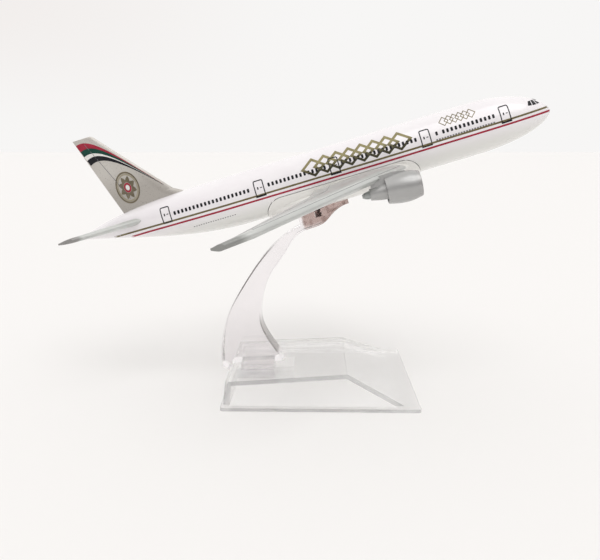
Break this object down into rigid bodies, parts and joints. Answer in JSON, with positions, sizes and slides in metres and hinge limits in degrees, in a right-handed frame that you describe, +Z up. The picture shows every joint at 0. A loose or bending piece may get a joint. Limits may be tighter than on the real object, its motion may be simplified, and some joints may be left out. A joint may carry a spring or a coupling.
{
  "type": "desktop airliner model",
  "caption": "Die-cast twin-jet airliner model that turns on and lifts off a clear curved arm plugged into a clear sloped base.",
  "frame": {"origin": "on the desk, under the middle of the whole model (nose to tail)", "axes": "+X towards the nose of the aircraft, +Y to its port side, +Z up"},
  "size_m": [0.1578, 0.14, 0.097],
  "materials": {
    "white_gloss_paint": "gloss white lacquer on die-cast zinc, with printed livery",
    "silver_grey_paint": "satin silver-grey lacquer on die-cast zinc",
    "fin_paint": "warm pale grey lacquer on die-cast zinc, with printed bands",
    "engine_grey": "moulded grey plastic, satin",
    "inlet_silver": "moulded plastic, silver painted",
    "fan_dark": "moulded dark grey plastic",
    "steel": "turned steel, bright",
    "brass": "turned brass",
    "clear_plastic": "clear moulded polystyrene with a faint lilac tint"
  },
  "bodies": {
    "base": {"base_shell": "clear_plastic"},
    "arm": {"stand_arm": "clear_plastic"},
    "pin": {"mount_pin": "steel"},
    "aircraft": {"fuselage": "white_gloss_paint", "wing_casting": "silver_grey_paint", "wing_screws": "steel", "fin": "fin_paint", "belly_bush": "brass", "tailplane_left": "silver_grey_paint", "pylon_left": "engine_grey", "cowl_left": "engine_grey", "inlet_ring_left": "inlet_silver", "fan_left": "fan_dark", "core_left": "engine_grey", "exhaust_plug_left": "inlet_silver", "tailplane_right": "silver_grey_paint", "pylon_right": "engine_grey", "cowl_right": "engine_grey", "inlet_ring_right": "inlet_silver", "fan_right": "fan_dark", "core_right": "engine_grey", "exhaust_plug_right": "inlet_silver"}
  },
  "joints": [
    {"name": "arm_lift", "type": "slide", "parent": "base", "child": "arm", "axis": [0, 0, 1], "range_m": [0, 0.012]},
    {"name": "aircraft_swivel", "type": "hinge", "parent": "arm", "child": "pin", "pos_m": [0.00279, 0, 0.06104], "axis": [-0.2882, 0, 0.9576], "continuous": true},
    {"name": "aircraft_lift", "type": "slide", "parent": "pin", "child": "aircraft", "axis": [-0.2882, 0, 0.9576], "range_m": [0, 0.012]}
  ]
}
